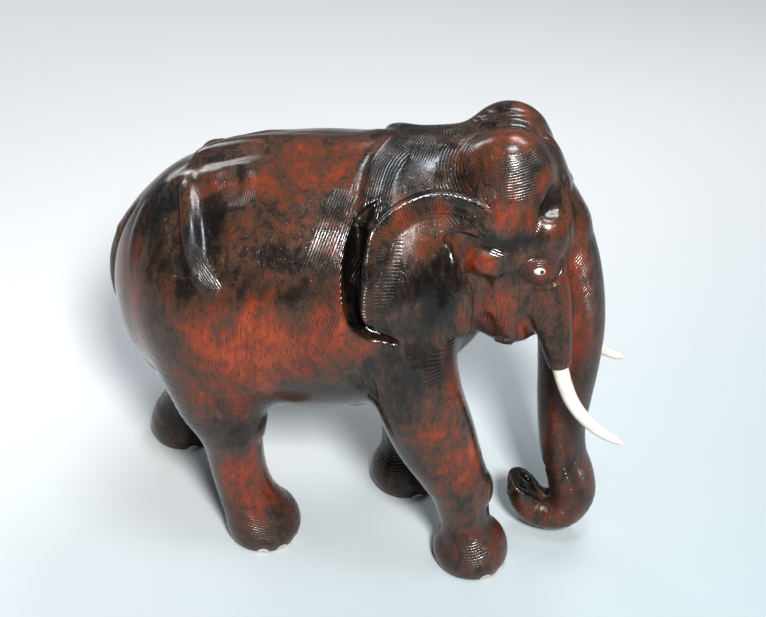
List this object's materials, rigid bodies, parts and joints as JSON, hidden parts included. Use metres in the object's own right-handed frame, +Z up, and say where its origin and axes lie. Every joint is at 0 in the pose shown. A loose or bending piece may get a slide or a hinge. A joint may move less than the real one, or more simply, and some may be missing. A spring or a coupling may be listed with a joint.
{
  "type": "carved elephant figurine",
  "caption": "Walking elephant carved from one piece of dark polished wood, with inlaid bone tusks, eyes and toenails, standing free as an ornament.",
  "frame": {"origin": "on the ground, under the middle of the overall box", "axes": "+X the way the elephant walks, +Y its left side, +Z up"},
  "size_m": [0.4254, 0.2129, 0.3838],
  "materials": {
    "carved_wood": "dark red-brown hardwood with black streaks, hand carved and wax polished",
    "tusk_bone": null,
    "inlay_bone": null,
    "dark_inlay": null
  },
  "bodies": {
    "root": {"carved_body": "carved_wood", "tusk_right": "tusk_bone", "tusk_left": "tusk_bone", "eye_right": "inlay_bone", "eye_left": "inlay_bone", "toenail_front_right_1": "inlay_bone", "toenail_front_right_2": "inlay_bone", "toenail_front_right_3": "inlay_bone", "toenail_front_right_4": "inlay_bone", "toenail_front_right_5": "inlay_bone", "toenail_front_left_1": "inlay_bone", "toenail_front_left_2": "inlay_bone", "toenail_front_left_3": "inlay_bone", "toenail_front_left_4": "inlay_bone", "toenail_front_left_5": "inlay_bone", "toenail_rear_right_1": "inlay_bone", "toenail_rear_right_2": "inlay_bone", "toenail_rear_right_3": "inlay_bone", "toenail_rear_right_4": "inlay_bone", "toenail_rear_right_5": "inlay_bone", "toenail_rear_left_1": "inlay_bone", "toenail_rear_left_2": "inlay_bone", "toenail_rear_left_3": "inlay_bone", "toenail_rear_left_4": "inlay_bone", "toenail_rear_left_5": "inlay_bone", "pupil_right": "dark_inlay", "pupil_left": "dark_inlay", "toenail_pins": "dark_inlay"}
  },
  "joints": []
}
